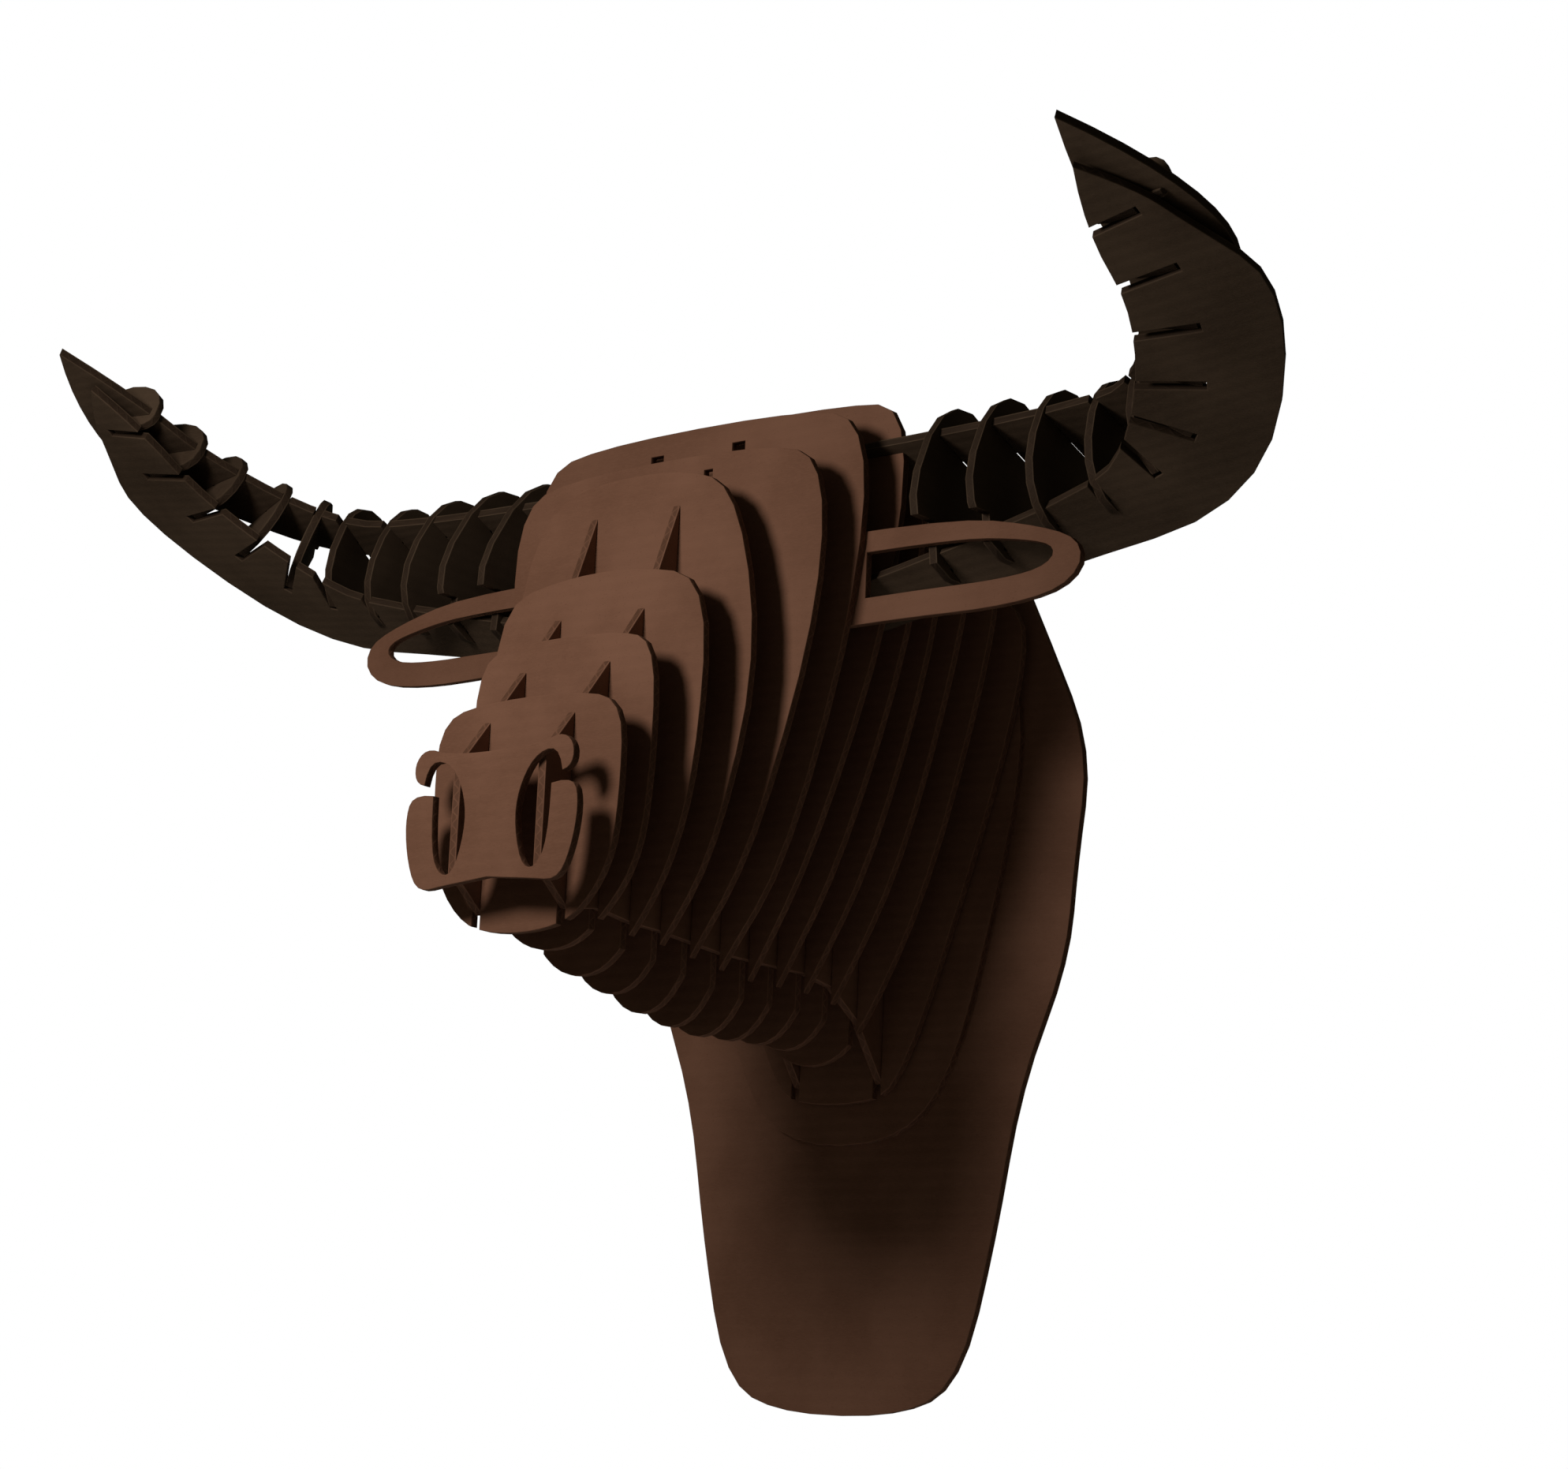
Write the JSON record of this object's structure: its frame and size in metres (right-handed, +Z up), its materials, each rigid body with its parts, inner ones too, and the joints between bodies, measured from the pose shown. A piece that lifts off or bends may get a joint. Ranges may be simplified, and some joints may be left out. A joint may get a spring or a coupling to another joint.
{
  "type": "animal head wall sculpture",
  "caption": "Wall-mounted bull's head of slotted flat corrugated boards, with a tongue-shaped back board, ring ears and curved horns of stacked discs.",
  "frame": {"origin": "wall fixing point on the rear face of the back board, 0.4 m above its foot, in the plane of symmetry", "axes": "+Z up the wall, +Y into the wall, -Y towards the muzzle, +X to the animal's left"},
  "size_m": [0.7884, 0.3488, 0.596],
  "materials": {
    "brown_board": "matt brown corrugated board with fine flute lines",
    "dark_board": "matt dark brown corrugated board"
  },
  "bodies": {
    "root": {"back_board": "brown_board", "neck_board": "brown_board", "cross_board_01": "brown_board", "cross_board_02": "brown_board", "cross_board_03": "brown_board", "cross_board_04": "brown_board", "cross_board_05": "brown_board", "cross_board_06": "brown_board", "cross_board_07": "brown_board", "cross_board_08": "brown_board", "cross_board_09": "brown_board", "cross_board_10": "brown_board", "cross_board_11": "brown_board", "cross_board_12": "brown_board", "muzzle_board": "brown_board", "long_board_right": "brown_board", "ear_right": "brown_board", "long_board_left": "brown_board", "ear_left": "brown_board", "horn_upper_board_right": "dark_board", "horn_lower_board_right": "dark_board", "horn_disc_right_1": "dark_board", "horn_disc_right_2": "dark_board", "horn_disc_right_3": "dark_board", "horn_disc_right_4": "dark_board", "horn_disc_right_5": "dark_board", "horn_disc_right_6": "dark_board", "horn_disc_right_7": "dark_board", "horn_disc_right_8": "dark_board", "horn_disc_right_9": "dark_board", "horn_disc_right_10": "dark_board", "horn_upper_board_left": "dark_board", "horn_lower_board_left": "dark_board", "horn_disc_left_1": "dark_board", "horn_disc_left_2": "dark_board", "horn_disc_left_3": "dark_board", "horn_disc_left_4": "dark_board", "horn_disc_left_5": "dark_board", "horn_disc_left_6": "dark_board", "horn_disc_left_7": "dark_board", "horn_disc_left_8": "dark_board", "horn_disc_left_9": "dark_board", "horn_disc_left_10": "dark_board"}
  },
  "joints": []
}
